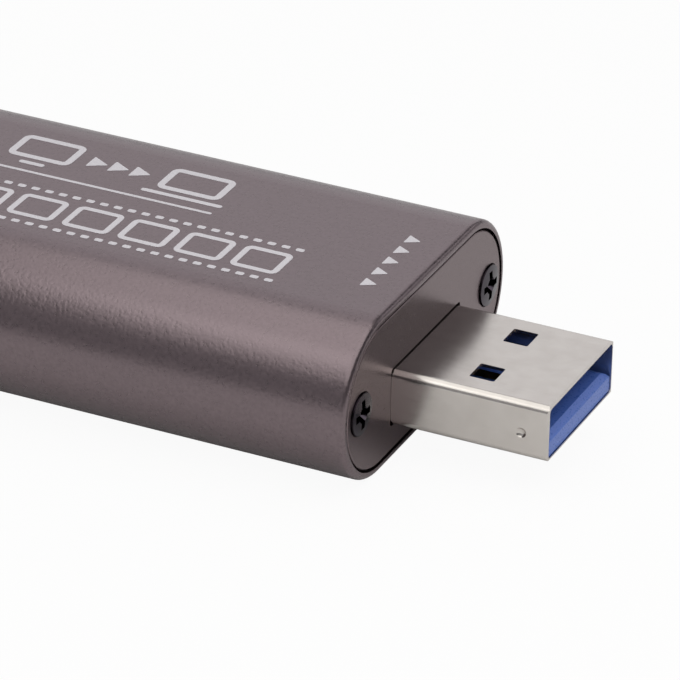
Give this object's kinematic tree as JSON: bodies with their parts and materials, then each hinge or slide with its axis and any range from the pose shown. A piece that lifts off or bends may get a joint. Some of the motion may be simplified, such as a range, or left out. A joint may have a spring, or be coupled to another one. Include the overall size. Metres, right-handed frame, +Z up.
{
  "type": "video capture box",
  "caption": "Flat round-sided metal box with a data plug standing out of one end and a video socket in the other, closed by screwed end plates, which turns a video signal into data.",
  "frame": {"origin": "middle of the bounding box's underside, on the flat underside of the shell", "axes": "+X out of the data plug, +Y across the flat of the shell, +Z up out of the printed face"},
  "size_m": [0.0636, 0.0284, 0.0128],
  "materials": {
    "anodised_metal": "satin",
    "dark_screw": "satin",
    "nickel_sheet": "satin",
    "blue_plastic": "satin",
    "black_plastic": "satin",
    "gold_contact": "gloss",
    "board_laminate": "satin",
    "tinned_lead": "satin",
    "heat_pad_rubber": "matte",
    "chip_mould": "matte",
    "crystal_ceramic": "matte",
    "ferrite": "matte",
    "tantalum_mould": "matte",
    "capacitor_ceramic": "satin",
    "resistor_ceramic": "satin"
  },
  "bodies": {
    "box": {"shell": "anodised_metal", "output_plate": "anodised_metal", "input_plate": "anodised_metal", "plate_screws": "dark_screw", "plug_shell": "nickel_sheet", "plug_insulator": "blue_plastic", "plug_flat_contacts": "gold_contact", "plug_sprung_tails": "gold_contact", "socket_shell": "nickel_sheet", "socket_insulator": "black_plastic", "socket_upper_contacts": "gold_contact", "socket_lower_contacts": "gold_contact", "circuit_board": "board_laminate", "capture_chip": "chip_mould", "capture_chip_leads": "tinned_lead", "heat_pad": "heat_pad_rubber", "flash_chip": "chip_mould", "flash_chip_leads": "tinned_lead", "crystal_base": "crystal_ceramic", "crystal_lid": "tinned_lead", "regulators": "chip_mould", "regulator_leads": "tinned_lead", "power_inductors": "ferrite", "inductor_terminals": "tinned_lead", "tantalum_capacitor": "tantalum_mould", "tantalum_terminals": "tinned_lead", "surge_arrays": "chip_mould", "ceramic_capacitors": "capacitor_ceramic", "capacitor_terminals": "tinned_lead", "chip_resistors": "resistor_ceramic", "resistor_terminals": "tinned_lead"},
    "plug_springs": {"plug_sprung_contacts": "gold_contact"},
    "socket_upper_pair": {"socket_upper_springs": "nickel_sheet"},
    "socket_lower_pair": {"socket_lower_springs": "nickel_sheet"}
  },
  "joints": [
    {"name": "plug_springs_bend", "type": "hinge", "parent": "box", "child": "plug_springs", "pos_m": [0.01835, 0, 0.00456], "axis": [0, 1, 0], "range_deg": [0, 5.5], "stiffness_Nm_per_rad": 0.1},
    {"name": "socket_upper_pair_bends", "type": "hinge", "parent": "box", "child": "socket_upper_pair", "pos_m": [-0.0251, 0, 0.01056], "axis": [0, 1, 0], "range_deg": [0, 5.5], "stiffness_Nm_per_rad": 0.2},
    {"name": "socket_lower_pair_bends", "type": "hinge", "parent": "box", "child": "socket_lower_pair", "pos_m": [-0.0251, 0, 0.00571], "axis": [0, -1, 0], "range_deg": [0, 5.5], "stiffness_Nm_per_rad": 0.2}
  ]
}
